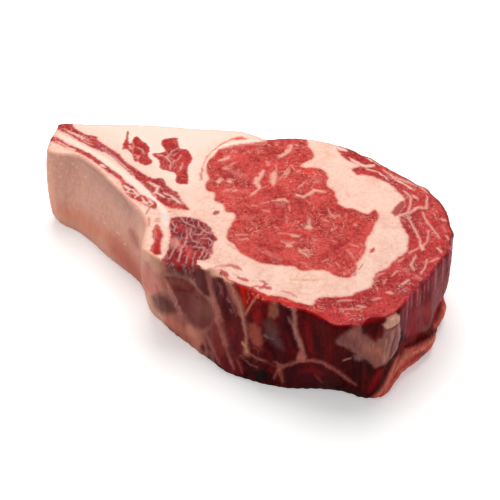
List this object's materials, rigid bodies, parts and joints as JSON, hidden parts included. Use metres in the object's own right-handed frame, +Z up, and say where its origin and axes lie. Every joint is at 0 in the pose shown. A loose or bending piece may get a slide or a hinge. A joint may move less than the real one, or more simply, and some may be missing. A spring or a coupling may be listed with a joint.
{
  "type": "raw bone-in beef rib steak",
  "caption": "Thick raw beef rib steak on the bone, lying on its cut face: eye and cap muscles in a ring of fat, a rib along a narrow tapering end.",
  "frame": {"origin": "centre of the bounding box at the lower cut face, which lies on the table", "axes": "+X from the rib end towards the thick cap side, +Y to the back, +Z up through the steak's thickness"},
  "size_m": [0.223, 0.1699, 0.0518],
  "materials": {
    "lean": "moist raw red meat",
    "dark_lean": "moist dark purple-red meat",
    "fat": "waxy cream-pink fat",
    "bone": "bone under a thin pink membrane"
  },
  "bodies": {
    "root": {"fat": "fat", "eye_muscle": "lean", "cap_muscle": "lean", "chine_muscle": "dark_lean", "outer_rib_lean": "lean", "inner_rib_lean": "lean", "inner_rib_lean_low": "lean", "wedge_lean_small": "lean", "wedge_lean_large": "lean", "neck_lean": "lean", "neck_lean_low": "lean", "rib_bone": "bone"}
  },
  "joints": []
}
